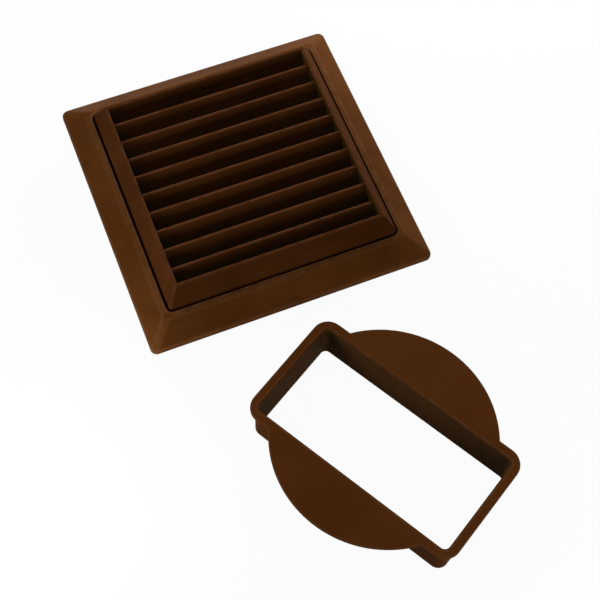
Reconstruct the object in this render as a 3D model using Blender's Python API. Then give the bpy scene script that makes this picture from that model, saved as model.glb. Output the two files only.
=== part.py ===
"""Square wall vent grille in brown plastic, lying on its back with its flat-channel adaptor beside it.

Three mouldings. The wall frame is a hollow bezel round a square recess, with a screw-down floor, a round
airway and a short duct spigot behind it. The louvre insert clips into the recess: a raised, mitred border
that carries ten sloping blades. The duct adaptor is loose: a round plate with a rectangular sleeve for
110 x 54 mm flat channel.

Metres, +Z out of the wall. The spigot's end and the adaptor's sleeve both stand at z = 0, and the wall's
surface is at z = SPIGOT_LENGTH. The blades shed rain towards +Y, so +Y is down on a wall.
"""
import math

import bpy
import bmesh
from mathutils import Matrix, Vector

# Wall frame
FRAME_SIZE = 0.150
FRAME_CORNER_RADIUS = 0.0034
FRAME_EDGE_HEIGHT = 0.0025
FRAME_EDGE_ROUNDING = 0.0012
FRAME_FRONT_HEIGHT = 0.0123
FRAME_WALL = 0.0020
LAND_WIDTH = 0.0022
LAND_FALL = 0.0005
LAND_ROUNDING = 0.0012
BEZEL_WIDTH = 0.01315
RECESS_SIZE = FRAME_SIZE - 2 * BEZEL_WIDTH
RECESS_CORNER_RADIUS = 0.0032
RECESS_EDGE_ROUNDING = 0.0005
RECESS_WALL = 0.0018
FLOOR_HEIGHT = 0.0045
FLOOR_THICKNESS = 0.0022
RIBS_PER_SIDE = 3
RIB_THICKNESS = 0.0012
RIB_SETBACK = 0.0008

# Round airway and spigot, which the floor joins to the recess
FLOOR_LAND = 0.01135
SPIGOT_DIAMETER = RECESS_SIZE - 2 * FLOOR_LAND
SPIGOT_WALL = 0.0020
SPIGOT_LENGTH = 0.018
SPIGOT_LEAD_IN = 0.0008

# Screw fixings in the recess floor
SCREW_INSET = 0.00935
SCREW_SPACING = RECESS_SIZE - 2 * SCREW_INSET
SCREW_HOLE_DIAMETER = 0.0045
SCREW_HEAD_DIAMETER = 0.0086
SCREW_HEAD_DEPTH = 0.0016
BOSS_DIAMETER = 0.0100

# Louvre insert
INSERT_SIDE_GAP = 0.0016
INSERT_SEAT_GAP = 0.0003
INSERT_CORNER_RADIUS = 0.0026
INSERT_FRONT_HEIGHT = 0.0241
INSERT_WALL = 0.0016
SHOULDER_RISE = 0.0018
BORDER_WIDTH = 0.00685
LOUVRE_OPENING = RECESS_SIZE - 2 * (INSERT_SIDE_GAP + BORDER_WIDTH)
LOUVRE_CORNER_RADIUS = 0.0006
LIP_WIDTH = 0.0015
LIP_ROUNDING = 0.0007
FLANGE_HEIGHT = 0.0110

# Blades, spread evenly from inside the border's upper side to inside its lower one
BLADE_COUNT = 10
BLADE_TOP_INLET = 0.0020
BLADE_BOTTOM_INLET = 0.0017
BLADE_PITCH = (LOUVRE_OPENING + BLADE_TOP_INLET + BLADE_BOTTOM_INLET) / BLADE_COUNT
BLADE_SETBACK = 0.0014
BLADE_DEPTH_PER_PITCH = 0.95
BLADE_DEPTH = BLADE_DEPTH_PER_PITCH * BLADE_PITCH
BLADE_THICKNESS = 0.0009
BLADE_SLOPE = math.radians(50)
BLADE_ROUNDING = 0.0003
BLADE_ROUNDING_STEPS = 2
BLADE_END_INLET = 0.0008

# Snap tongues on the insert, with windows in the frame
TONGUE_Y = -0.019
TONGUE_WIDTH = 0.028
TONGUE_SLOT_WIDTH = 0.0014
TONGUE_SLOT_DROP = 0.0012
NIB_END_INSET = 0.0005
NIB_CLEARANCE = 0.0005
NIB_HEIGHT = 0.0026
NIB_TAPER = 0.7
NIB_UNDERCUT = 0.0007
NIB_LIFT = 0.0010
WINDOW_CLEARANCE = 0.0006

# Duct adaptor
CHANNEL_LENGTH = 0.110
CHANNEL_WIDTH = 0.054
CHANNEL_CORNER_RADIUS = 0.0030
SLEEVE_WALL = 0.0022
SLEEVE_DEPTH = 0.027
PLATE_THICKNESS = 0.0020
DISC_INSET = 0.0005
PLATE_DIAMETER = CHANNEL_LENGTH - 2 * DISC_INSET
PLATE_LIP = 0.0048
PLATE_CORNER_RADIUS = 0.0085
PLATE_ROUNDING = 0.0006
MOUTH_CHAMFER = 0.0004

# Places of the two as they lie, with the origin under the middle of the set
GRILLE_CENTRE = (0.0, 0.0728)
ADAPTOR_CENTRE = (0.0125, -0.0832)
ADAPTOR_TURN = math.radians(-60)

# Plastics, as linear red, green and blue
FRAME_COLOUR = (0.093, 0.041, 0.016)
LOUVRE_COLOUR = (0.085, 0.036, 0.014)
ADAPTOR_COLOUR = (0.082, 0.035, 0.014)
PLASTIC_ROUGHNESS = 0.43

# Smoothness of the curves
CORNER_STEPS = 6
SIDE_STEPS = 16
FILLET_STEPS = 3
ARC_STEPS = 36
ROUND_STEPS = 24
CORNER_SPAN = math.radians(8)
SHARP_ANGLE = math.radians(32)

# Limits that keep rounded corners within their sides, and how far merged shapes reach into each other
CORNER_LIMIT = 0.9
FILLET_LIMIT = 0.45
OVERLAP = 0.0005


def clear_objects():
    """Remove whatever the opened file holds."""
    for item in list(bpy.data.objects):
        bpy.data.objects.remove(item, do_unlink=True)


def plastic(name, colour):
    """A plain moulded plastic in one colour."""
    material = bpy.data.materials.new(name)
    material.use_nodes = True
    shader = material.node_tree.nodes["Principled BSDF"]
    shader.inputs["Base Color"].default_value = (*colour, 1.0)
    shader.inputs["Roughness"].default_value = PLASTIC_ROUGHNESS
    shader.inputs["Metallic"].default_value = 0.0
    material.diffuse_color = (*colour, 1.0)
    return material


def object_from_bmesh(name, shape, material=None):
    """Turn a bmesh into a scene object, with its faces pointing outwards."""
    bmesh.ops.recalc_face_normals(shape, faces=shape.faces)
    mesh = bpy.data.meshes.new(name)
    shape.to_mesh(mesh)
    shape.free()
    item = bpy.data.objects.new(name, mesh)
    bpy.context.scene.collection.objects.link(item)
    if material:
        mesh.materials.append(material)
    return item


def fillet(before, corner, after, radius, steps=FILLET_STEPS):
    """Points of an arc that rounds the corner of a two-dimensional outline."""
    corner = Vector(corner)
    towards = (Vector(before) - corner).normalized()
    onwards = (Vector(after) - corner).normalized()
    half_angle = towards.angle(onwards) / 2
    reach = radius / math.tan(half_angle)
    room = FILLET_LIMIT * min((Vector(before) - corner).length, (Vector(after) - corner).length)
    reach = min(reach, room)
    radius = reach * math.tan(half_angle)
    centre = corner + (towards + onwards).normalized() * radius / math.sin(half_angle)
    start = corner + towards * reach - centre
    end = corner + onwards * reach - centre
    turn = start.angle_signed(end)
    points = []
    for step in range(steps + 1):
        angle = -turn * step / steps
        rotated = Vector((start.x * math.cos(angle) - start.y * math.sin(angle),
                          start.x * math.sin(angle) + start.y * math.cos(angle)))
        points.append(tuple(centre + rotated))
    return points


def square_loop(half, radius, height):
    """A rounded square seen from above, anticlockwise, with SIDE_STEPS along each side."""
    radius = min(radius, CORNER_LIMIT * half)
    inner = half - radius
    points = []
    for quarter in range(4):
        turn = Matrix.Rotation(quarter * math.pi / 2, 2)
        for step in range(SIDE_STEPS):
            along = math.tan(math.pi / 4 * (2 * step / SIDE_STEPS - 1)) * inner
            points.append(turn @ Vector((half, along)))
        for step in range(CORNER_STEPS):
            angle = math.pi / 2 * step / CORNER_STEPS
            along = inner + radius * math.sin(angle)
            points.append(turn @ Vector((inner + radius * math.cos(angle), along)))
    return [Vector((point.x, point.y, height)) for point in points]


def circle_loop(radius, height):
    """A circle with one point for each point of square_loop, and the small corner steps kept small."""
    side_span = math.pi / 2 - CORNER_SPAN
    angles = []
    for quarter in range(4):
        middle = quarter * math.pi / 2
        for step in range(SIDE_STEPS):
            angles.append(middle - side_span / 2 + side_span * step / SIDE_STEPS)
        for step in range(CORNER_STEPS):
            angles.append(middle + side_span / 2 + CORNER_SPAN * step / CORNER_STEPS)
    return [Vector((radius * math.cos(angle), radius * math.sin(angle), height)) for angle in angles]


def ring_solid(loops):
    """Join closed loops of equal counts into a closed ring, the last one back to the first."""
    shape = bmesh.new()
    rows = [[shape.verts.new(point) for point in loop] for loop in loops]
    for row, following in zip(rows, rows[1:] + rows[:1]):
        count = len(row)
        for index in range(count):
            ahead = (index + 1) % count
            shape.faces.new((row[index], row[ahead], following[ahead], following[index]))
    return shape


def stack_solid(loops):
    """Join closed loops into a solid and cap its first and last loops."""
    shape = bmesh.new()
    rows = [[shape.verts.new(point) for point in loop] for loop in loops]
    for row, following in zip(rows, rows[1:]):
        count = len(row)
        for index in range(count):
            ahead = (index + 1) % count
            shape.faces.new((row[index], row[ahead], following[ahead], following[index]))
    shape.faces.new(list(reversed(rows[0])))
    shape.faces.new(rows[-1])
    return shape


def prism(outline, start, end, axis):
    """Extrude a closed outline of (first, second) pairs along one axis, X or Y."""
    shape = bmesh.new()
    ends = []
    for place in (start, end):
        if axis == "X":
            ends.append([shape.verts.new((place, first, second)) for first, second in outline])
        else:
            ends.append([shape.verts.new((first, place, second)) for first, second in outline])
    count = len(outline)
    for index in range(count):
        ahead = (index + 1) % count
        shape.faces.new((ends[0][index], ends[0][ahead], ends[1][ahead], ends[1][index]))
    shape.faces.new(list(reversed(ends[0])))
    shape.faces.new(ends[1])
    return shape


def box(low, high):
    """A closed box between two corners."""
    shape = bmesh.new()
    middle = (Vector(low) + Vector(high)) / 2
    size = Vector(high) - Vector(low)
    placed = Matrix.Translation(middle) @ Matrix.Diagonal((*size, 1.0))
    bmesh.ops.create_cube(shape, size=1.0, matrix=placed)
    return shape


def turned(profile, centre):
    """A solid of revolution about a vertical line, from (radius, height) pairs."""
    loops = []
    for radius, height in profile:
        loop = []
        for step in range(ROUND_STEPS):
            angle = 2 * math.pi * step / ROUND_STEPS
            x = centre[0] + radius * math.cos(angle)
            y = centre[1] + radius * math.sin(angle)
            loop.append(Vector((x, y, height)))
        loops.append(loop)
    return stack_solid(loops)


def merge_shapes(shapes):
    """Put several bmeshes that don't touch each other into one."""
    whole = bmesh.new()
    for shape in shapes:
        bmesh.ops.recalc_face_normals(shape, faces=shape.faces)
        scratch = bpy.data.meshes.new("scratch")
        shape.to_mesh(scratch)
        shape.free()
        whole.from_mesh(scratch)
        bpy.data.meshes.remove(scratch)
    return whole


def combine(item, shape, operation, label):
    """Union or cut another closed shape with an object, and keep only the result."""
    tool = object_from_bmesh(label, shape)
    tool.hide_render = True
    tool.display_type = "WIRE"
    modifier = item.modifiers.new(label, "BOOLEAN")
    modifier.operation = operation
    modifier.object = tool
    modifier.solver = "EXACT"
    bpy.context.view_layer.update()
    depsgraph = bpy.context.evaluated_depsgraph_get()
    result = bpy.data.meshes.new_from_object(item.evaluated_get(depsgraph), depsgraph=depsgraph)
    item.modifiers.clear()
    old = item.data
    item.data = result
    result.name = item.name
    bpy.data.meshes.remove(old)
    bpy.data.objects.remove(tool, do_unlink=True)


def finish(item):
    """Weld stray points and shade the curved faces smooth."""
    shape = bmesh.new()
    shape.from_mesh(item.data)
    bmesh.ops.remove_doubles(shape, verts=shape.verts, dist=1e-6)
    bmesh.ops.dissolve_degenerate(shape, edges=shape.edges, dist=1e-6)
    shape.to_mesh(item.data)
    shape.free()
    item.data.shade_smooth()
    item.data.set_sharp_from_angle(angle=SHARP_ANGLE)


def bezel_height(half):
    """Height of the bezel's sloping face over the wall, at a distance from the grille's centre line."""
    outer = FRAME_SIZE / 2
    inner = RECESS_SIZE / 2 + LAND_WIDTH
    top = FRAME_FRONT_HEIGHT - LAND_FALL
    return FRAME_EDGE_HEIGHT + (top - FRAME_EDGE_HEIGHT) * (outer - half) / (outer - inner)


def bezel_underside(half):
    """Height of the hollow bezel's underside, one wall thickness below its sloping face."""
    run = FRAME_SIZE / 2 - RECESS_SIZE / 2 - LAND_WIDTH
    rise = FRAME_FRONT_HEIGHT - LAND_FALL - FRAME_EDGE_HEIGHT
    return bezel_height(half) - FRAME_WALL * math.hypot(run, rise) / run


def frame_outline():
    """The frame's half section, from the wall over the bezel into the recess, as (half, height) pairs."""
    outer = FRAME_SIZE / 2
    recess = RECESS_SIZE / 2
    foot = (outer, 0.0)
    edge = (outer, FRAME_EDGE_HEIGHT)
    land = (recess + LAND_WIDTH, FRAME_FRONT_HEIGHT - LAND_FALL)
    rim = (recess, FRAME_FRONT_HEIGHT)
    floor = (recess, FLOOR_HEIGHT)
    points = [foot]
    points += fillet(foot, edge, land, FRAME_EDGE_ROUNDING)
    points += fillet(edge, land, rim, LAND_ROUNDING)
    points += fillet(land, rim, floor, RECESS_EDGE_ROUNDING)
    points.append(floor)
    return points


def frame_corner_radius(half):
    """Corner radius of the bezel, which changes evenly from its outer edge to the recess."""
    outer = FRAME_SIZE / 2
    recess = RECESS_SIZE / 2
    share = (outer - half) / (outer - recess)
    return FRAME_CORNER_RADIUS + (RECESS_CORNER_RADIUS - FRAME_CORNER_RADIUS) * share


def frame_shell():
    """Bezel, recess, floor and spigot as one ring of loops."""
    wall = SPIGOT_LENGTH
    loops = [square_loop(half, frame_corner_radius(half), wall + height) for half, height in frame_outline()]
    bore = SPIGOT_DIAMETER / 2 - SPIGOT_WALL
    outside = SPIGOT_DIAMETER / 2
    floor_back = FLOOR_HEIGHT - FLOOR_THICKNESS
    loops.append(circle_loop(bore, wall + FLOOR_HEIGHT))
    loops.append(circle_loop(bore, SPIGOT_LEAD_IN))
    loops.append(circle_loop(bore + SPIGOT_LEAD_IN / 2, 0.0))
    loops.append(circle_loop(outside - SPIGOT_LEAD_IN, 0.0))
    loops.append(circle_loop(outside, SPIGOT_LEAD_IN))
    loops.append(circle_loop(outside, wall + floor_back))
    back = RECESS_SIZE / 2 + RECESS_WALL
    inside = FRAME_SIZE / 2 - FRAME_WALL
    back_radius = RECESS_CORNER_RADIUS + RECESS_WALL
    inside_radius = FRAME_CORNER_RADIUS - FRAME_WALL
    loops.append(square_loop(back, back_radius, wall + floor_back))
    loops.append(square_loop(back, back_radius, wall + bezel_underside(back)))
    loops.append(square_loop(inside, inside_radius, wall + bezel_underside(inside)))
    loops.append(square_loop(inside, inside_radius, wall))
    return ring_solid(loops)


def frame_ribs():
    """Thin ribs across the hollow behind the bezel, evenly spaced along each side."""
    back = RECESS_SIZE / 2 + RECESS_WALL
    inside = FRAME_SIZE / 2 - FRAME_WALL
    low = SPIGOT_LENGTH + RIB_SETBACK
    section = [(back - OVERLAP, low), (inside + OVERLAP, low),
               (inside + OVERLAP, SPIGOT_LENGTH + bezel_underside(inside) + OVERLAP),
               (back - OVERLAP, SPIGOT_LENGTH + bezel_underside(back) + OVERLAP)]
    ribs = []
    for quarter in range(4):
        for index in range(RIBS_PER_SIDE):
            place = FRAME_SIZE * ((index + 1) / (RIBS_PER_SIDE + 1) - 0.5)
            rib = prism(section, place - RIB_THICKNESS / 2, place + RIB_THICKNESS / 2, "Y")
            rib.transform(Matrix.Rotation(quarter * math.pi / 2, 4, "Z"))
            ribs.append(rib)
    return merge_shapes(ribs)


def screw_places():
    """Centres of the four fixing screws."""
    half = SCREW_SPACING / 2
    return [(x * half, y * half) for x in (-1, 1) for y in (-1, 1)]


def frame_bosses():
    """Spacer bosses that carry the screws' pull from the floor to the wall."""
    top = SPIGOT_LENGTH + FLOOR_HEIGHT - FLOOR_THICKNESS / 2
    profile = [(BOSS_DIAMETER / 2, SPIGOT_LENGTH), (BOSS_DIAMETER / 2, top)]
    return merge_shapes([turned(profile, place) for place in screw_places()])


def screw_cuts():
    """Countersunk screw holes, cut from the floor through the bosses."""
    floor = SPIGOT_LENGTH + FLOOR_HEIGHT
    hole = SCREW_HOLE_DIAMETER / 2
    head = SCREW_HEAD_DIAMETER / 2
    past = head + OVERLAP * (head - hole) / SCREW_HEAD_DEPTH
    below = SPIGOT_LENGTH - OVERLAP
    profile = [(hole, below), (hole, floor - SCREW_HEAD_DEPTH), (past, floor + OVERLAP)]
    return merge_shapes([turned(profile, place) for place in screw_places()])


def nib_low():
    """Height of the lower side of the snap nibs."""
    return SPIGOT_LENGTH + FLOOR_HEIGHT + INSERT_SEAT_GAP + NIB_LIFT


def nib_half():
    """Half the length of a snap nib, which ends a little inside its tongue."""
    return TONGUE_WIDTH / 2 - NIB_END_INSET


def window_cuts():
    """Windows in the recess wall, one in front of each nib."""
    recess = RECESS_SIZE / 2
    half = nib_half() + WINDOW_CLEARANCE
    bottom = nib_low() - WINDOW_CLEARANCE
    top = nib_low() + NIB_HEIGHT + WINDOW_CLEARANCE
    cuts = []
    for side in (-1, 1):
        near = side * (recess - OVERLAP)
        far = side * (recess + RECESS_WALL + OVERLAP)
        low = (min(near, far), TONGUE_Y - half, bottom)
        high = (max(near, far), TONGUE_Y + half, top)
        cuts.append(box(low, high))
    return merge_shapes(cuts)


def make_wall_frame():
    """The part that is screwed to the wall."""
    item = object_from_bmesh("wall_frame", frame_shell(), plastic("frame_plastic", FRAME_COLOUR))
    combine(item, frame_ribs(), "UNION", "rear_ribs")
    combine(item, frame_bosses(), "UNION", "screw_bosses")
    combine(item, screw_cuts(), "DIFFERENCE", "screw_holes")
    combine(item, window_cuts(), "DIFFERENCE", "snap_windows")
    finish(item)
    item.location = (*GRILLE_CENTRE, 0.0)


def insert_outline():
    """The insert's border in half section, from the skirt's foot over the lip and back, as pairs."""
    skirt = RECESS_SIZE / 2 - INSERT_SIDE_GAP
    opening = LOUVRE_OPENING / 2
    foot = FLOOR_HEIGHT + INSERT_SEAT_GAP
    shoulder = (skirt, FRAME_FRONT_HEIGHT + SHOULDER_RISE)
    crest = (opening + LIP_WIDTH, INSERT_FRONT_HEIGHT)
    lip = (opening, INSERT_FRONT_HEIGHT)
    flange = (opening, FLANGE_HEIGHT)
    slope = math.hypot(shoulder[0] - crest[0], shoulder[1] - crest[1])
    steepness = (crest[1] - shoulder[1]) / (shoulder[0] - crest[0])
    inner = (skirt - INSERT_WALL, foot)
    across = INSERT_WALL * slope / (crest[1] - shoulder[1])
    back_shoulder = (skirt - INSERT_WALL, shoulder[1] - (across - INSERT_WALL) * steepness)
    back_flange = opening + INSERT_WALL
    back_crest = (back_flange, shoulder[1] + (shoulder[0] - across - back_flange) * steepness)
    points = [(skirt, foot)]
    points += fillet((skirt, foot), shoulder, crest, LIP_ROUNDING)
    points += fillet(shoulder, crest, lip, LIP_ROUNDING)
    points += fillet(crest, lip, flange, LIP_ROUNDING)
    points.append(flange)
    points.append((back_flange, FLANGE_HEIGHT))
    points.append(back_crest)
    points.append(back_shoulder)
    points.append(inner)
    return points


def insert_corner_radius(half):
    """Corner radius of the border, which shrinks evenly towards the crisp corners of its opening."""
    skirt = RECESS_SIZE / 2 - INSERT_SIDE_GAP
    opening = LOUVRE_OPENING / 2
    share = min(1.0, (skirt - half) / (skirt - opening))
    return INSERT_CORNER_RADIUS + (LOUVRE_CORNER_RADIUS - INSERT_CORNER_RADIUS) * share


def insert_border():
    """The raised border as a ring of rounded squares."""
    return ring_solid([square_loop(half, insert_corner_radius(half), SPIGOT_LENGTH + height)
                       for half, height in insert_outline()])


def blade_outline(top_y):
    """One blade's section in Y and Z: a rounded front edge, then a thin wall sloping back towards -Y."""
    front = SPIGOT_LENGTH + INSERT_FRONT_HEIGHT - BLADE_SETBACK
    width = BLADE_THICKNESS / math.sin(BLADE_SLOPE)
    travel = BLADE_DEPTH / math.tan(BLADE_SLOPE)
    upper = (top_y, front)
    lower = (top_y - width, front)
    back_lower = (top_y - width - travel, front - BLADE_DEPTH)
    back_upper = (top_y - travel, front - BLADE_DEPTH)
    points = fillet(back_upper, upper, lower, BLADE_ROUNDING, BLADE_ROUNDING_STEPS)
    points += fillet(upper, lower, back_lower, BLADE_ROUNDING, BLADE_ROUNDING_STEPS)
    return points + [back_lower, back_upper]


def insert_blades():
    """All the blades, with their ends let into the border."""
    half = LOUVRE_OPENING / 2 + BLADE_END_INLET
    first = LOUVRE_OPENING / 2 + BLADE_TOP_INLET
    return merge_shapes([prism(blade_outline(first - index * BLADE_PITCH), -half, half, "X")
                         for index in range(BLADE_COUNT)])


def tongue_slots():
    """Slots on both sides of each snap tongue, which let it flex."""
    skirt = RECESS_SIZE / 2 - INSERT_SIDE_GAP
    foot = SPIGOT_LENGTH + FLOOR_HEIGHT
    top = SPIGOT_LENGTH + FRAME_FRONT_HEIGHT - TONGUE_SLOT_DROP
    cuts = []
    for side in (-1, 1):
        near = side * (skirt - INSERT_WALL - OVERLAP)
        far = side * (skirt + OVERLAP)
        for edge in (-1, 1):
            middle = TONGUE_Y + edge * (TONGUE_WIDTH + TONGUE_SLOT_WIDTH) / 2
            low = (min(near, far), middle - TONGUE_SLOT_WIDTH / 2, foot)
            high = (max(near, far), middle + TONGUE_SLOT_WIDTH / 2, top)
            cuts.append(box(low, high))
    return merge_shapes(cuts)


def snap_nibs():
    """Barbed nibs on the tongues, undercut on top and tapered below so that they ride in."""
    recess = RECESS_SIZE / 2
    skirt = recess - INSERT_SIDE_GAP
    tip = recess - NIB_CLEARANCE
    low = nib_low()
    top = low + NIB_HEIGHT
    root_top = top - NIB_UNDERCUT
    nibs = []
    for side in (-1, 1):
        section = [(side * (skirt - OVERLAP), low), (side * skirt, low),
                   (side * tip, low + NIB_HEIGHT * NIB_TAPER),
                   (side * tip, top), (side * skirt, root_top), (side * (skirt - OVERLAP), root_top)]
        nibs.append(prism(section, TONGUE_Y - nib_half(), TONGUE_Y + nib_half(), "Y"))
    return merge_shapes(nibs)


def make_louvre_insert():
    """The clip-in louvre panel."""
    item = object_from_bmesh("louvre_insert", insert_border(), plastic("louvre_plastic", LOUVRE_COLOUR))
    combine(item, insert_blades(), "UNION", "blades")
    combine(item, tongue_slots(), "DIFFERENCE", "tongue_slots")
    combine(item, snap_nibs(), "UNION", "snap_nibs")
    finish(item)
    item.location = (*GRILLE_CENTRE, 0.0)


def rectangle_loop(length, width, radius, height):
    """A rounded rectangle seen from above, anticlockwise."""
    radius = min(radius, FILLET_LIMIT * min(length, width))
    points = []
    for quarter, (sx, sy) in enumerate(((1, 1), (-1, 1), (-1, -1), (1, -1))):
        centre = Vector((sx * (length / 2 - radius), sy * (width / 2 - radius)))
        for step in range(CORNER_STEPS + 1):
            angle = math.pi / 2 * (quarter + step / CORNER_STEPS)
            points.append(centre + Vector((math.cos(angle), math.sin(angle))) * radius)
    return [Vector((point.x, point.y, height)) for point in points]


def plate_loop(inset, height):
    """The adaptor plate's outline, a disc with a rounded rectangle across it, moved in by inset."""
    radius = PLATE_DIAMETER / 2 - inset
    half_length = CHANNEL_LENGTH / 2 + PLATE_LIP - inset
    half_width = CHANNEL_WIDTH / 2 + PLATE_LIP - inset
    corner = PLATE_CORNER_RADIUS - inset
    meet = math.asin(half_width / radius)
    points = []
    for end in (0, 1):
        turn = Matrix.Rotation(end * math.pi, 2)
        centre_x = half_length - corner
        for side in (-1, 1):
            centre = Vector((centre_x, side * (half_width - corner)))
            start = (side - 1) * math.pi / 4
            for step in range(CORNER_STEPS + 1):
                angle = start + math.pi / 2 * step / CORNER_STEPS
                rim = Vector((math.cos(angle), math.sin(angle))) * corner
                points.append(turn @ (centre + rim))
        for step in range(ARC_STEPS + 1):
            angle = meet + (math.pi - 2 * meet) * step / ARC_STEPS
            points.append(turn @ Vector((radius * math.cos(angle), radius * math.sin(angle))))
    return [Vector((point.x, point.y, height)) for point in points]


def adaptor_plate():
    """The flat plate on top of the sleeve, with a softly rounded rim."""
    low = SLEEVE_DEPTH - PLATE_THICKNESS
    rim = SLEEVE_DEPTH - PLATE_ROUNDING
    loops = [plate_loop(0.0, low)]
    for step in range(FILLET_STEPS + 1):
        angle = math.pi / 2 * step / FILLET_STEPS
        inset = PLATE_ROUNDING * (1 - math.cos(angle))
        loops.append(plate_loop(inset, rim + PLATE_ROUNDING * math.sin(angle)))
    return stack_solid(loops)


def adaptor_sleeve():
    """The sleeve's outside, a solid block that reaches into the plate."""
    length = CHANNEL_LENGTH + 2 * SLEEVE_WALL
    width = CHANNEL_WIDTH + 2 * SLEEVE_WALL
    radius = CHANNEL_CORNER_RADIUS + SLEEVE_WALL
    top = SLEEVE_DEPTH - PLATE_THICKNESS / 2
    return stack_solid([rectangle_loop(length, width, radius, height) for height in (0.0, top)])


def channel_cut():
    """The way through for the flat channel, with a small chamfer at both mouths."""
    loops = []
    grow = 2 * (MOUTH_CHAMFER + OVERLAP)
    for spread, height in ((grow, -OVERLAP), (0.0, MOUTH_CHAMFER),
                           (0.0, SLEEVE_DEPTH - MOUTH_CHAMFER), (grow, SLEEVE_DEPTH + OVERLAP)):
        loops.append(rectangle_loop(CHANNEL_LENGTH + spread, CHANNEL_WIDTH + spread,
                                    CHANNEL_CORNER_RADIUS + spread / 2, height))
    return stack_solid(loops)


def make_duct_adaptor():
    """The loose adaptor, standing on its sleeve in front of the grille."""
    item = object_from_bmesh("duct_adaptor", adaptor_plate(), plastic("adaptor_plastic", ADAPTOR_COLOUR))
    combine(item, adaptor_sleeve(), "UNION", "sleeve")
    combine(item, channel_cut(), "DIFFERENCE", "channel_way")
    finish(item)
    item.location = (*ADAPTOR_CENTRE, 0.0)
    item.rotation_euler = (0.0, 0.0, ADAPTOR_TURN)


def main():
    """Build the three mouldings."""
    clear_objects()
    make_wall_frame()
    make_louvre_insert()
    make_duct_adaptor()


main()
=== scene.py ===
# %% [markdown]
# A brown plastic ventilation grille lies on its back on a white table, with its loose duct adaptor in
# front of it. The CAD model gives every size and place. This lesson dresses it: each moulding is
# modelled again with softer edges than the CAD has, gets a plastic with grain and flow, and is lit
# like a small product photograph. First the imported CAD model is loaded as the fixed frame.

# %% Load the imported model
import math

import bmesh
import bpy
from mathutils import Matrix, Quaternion, Vector


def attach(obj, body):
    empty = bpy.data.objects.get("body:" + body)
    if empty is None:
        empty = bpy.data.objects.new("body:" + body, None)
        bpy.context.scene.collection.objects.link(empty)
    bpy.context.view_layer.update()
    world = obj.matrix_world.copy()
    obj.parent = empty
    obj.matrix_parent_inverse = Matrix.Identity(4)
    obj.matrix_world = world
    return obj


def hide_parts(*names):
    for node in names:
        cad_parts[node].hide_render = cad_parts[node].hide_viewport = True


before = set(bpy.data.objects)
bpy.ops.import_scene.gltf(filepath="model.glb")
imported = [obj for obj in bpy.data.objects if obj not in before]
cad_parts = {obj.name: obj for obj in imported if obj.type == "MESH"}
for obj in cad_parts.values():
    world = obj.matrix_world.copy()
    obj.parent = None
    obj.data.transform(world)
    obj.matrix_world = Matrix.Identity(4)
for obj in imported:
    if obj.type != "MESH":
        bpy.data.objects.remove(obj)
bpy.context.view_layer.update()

# %% [markdown]
# The camera comes first, because everything after it is seen through it. A look-at point and a small
# roll are easier to read and to change than three rotation angles, so the camera is turned with
# to_track_quat and then rolled about its own line of sight.

# %% Camera
CAMERA_PLACE = Vector((-0.1127, -0.2538, 0.5973))
CAMERA_TARGET = Vector((0.0010, -0.0050, 0.0300))
CAMERA_ROLL = math.radians(3.15)
CAMERA_LENS_MM = 77.2
CAMERA_SENSOR_MM = 36.0

camera_data = bpy.data.cameras.new("camera")
camera_data.lens = CAMERA_LENS_MM
camera_data.sensor_width = CAMERA_SENSOR_MM
camera = bpy.data.objects.new("camera", camera_data)
bpy.context.scene.collection.objects.link(camera)
camera.location = CAMERA_PLACE
camera.rotation_mode = "QUATERNION"
line_of_sight = CAMERA_TARGET - CAMERA_PLACE
roll = Quaternion((0.0, 0.0, 1.0), CAMERA_ROLL)
camera.rotation_quaternion = line_of_sight.to_track_quat("-Z", "Y") @ roll
bpy.context.scene.camera = camera
print("camera distance in mm:", round(1000 * line_of_sight.length))

# %% [markdown]
# Most of the modelling happens in edit mode. An operator acts on all that is selected, so every step
# starts from nothing selected and picks its faces, edges or vertices in code, by their place or by the
# way they face. These small helpers keep those picks short.

# %% Helpers for picking and for edit mode
NEAR = 2e-5
FACING = 0.9


def clear_selection():
    """Go back to object mode with nothing selected."""
    active = bpy.context.view_layer.objects.active
    if active is not None and active.mode == "EDIT":
        bpy.ops.object.mode_set(mode="OBJECT")
    bpy.ops.object.select_all(action="DESELECT")


def open_edit(piece):
    """Select one piece alone and enter its edit mode."""
    clear_selection()
    bpy.context.view_layer.objects.active = piece
    piece.select_set(True)
    bpy.ops.object.mode_set(mode="EDIT")


def pick(piece, kind, test):
    """In edit mode, select the vertices, edges or faces that pass a test, and say how many did."""
    bpy.ops.mesh.select_mode(type=kind)
    bpy.ops.mesh.select_all(action="DESELECT")
    shape = bmesh.from_edit_mesh(piece.data)
    items = {"VERT": shape.verts, "EDGE": shape.edges, "FACE": shape.faces}[kind]
    chosen = [item for item in items if test(item)]
    for item in chosen:
        item.select_set(True)
    shape.select_flush_mode()
    bmesh.update_edit_mesh(piece.data)
    return len(chosen)


def name_new(name):
    """Name the primitive that was just added, and its mesh."""
    piece = bpy.context.object
    piece.name = name
    piece.data.name = name
    return piece


# %% [markdown]
# A modifier is a good way to weld one shape to another or to cut with it, because the Exact Boolean
# keeps the result closed. The tool is an ordinary object, which is deleted once the modifier is
# applied.

# %% Helper for joining and cutting
def combine(piece, tool, operation):
    """Join a tool to a piece or cut the piece with it, and delete the tool."""
    clear_selection()
    bpy.context.view_layer.objects.active = piece
    piece.select_set(True)
    modifier = piece.modifiers.new(operation, "BOOLEAN")
    modifier.operation = operation
    modifier.solver = "EXACT"
    modifier.object = tool
    bpy.ops.object.modifier_apply(modifier=modifier.name)
    bpy.data.objects.remove(tool, do_unlink=True)


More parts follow.
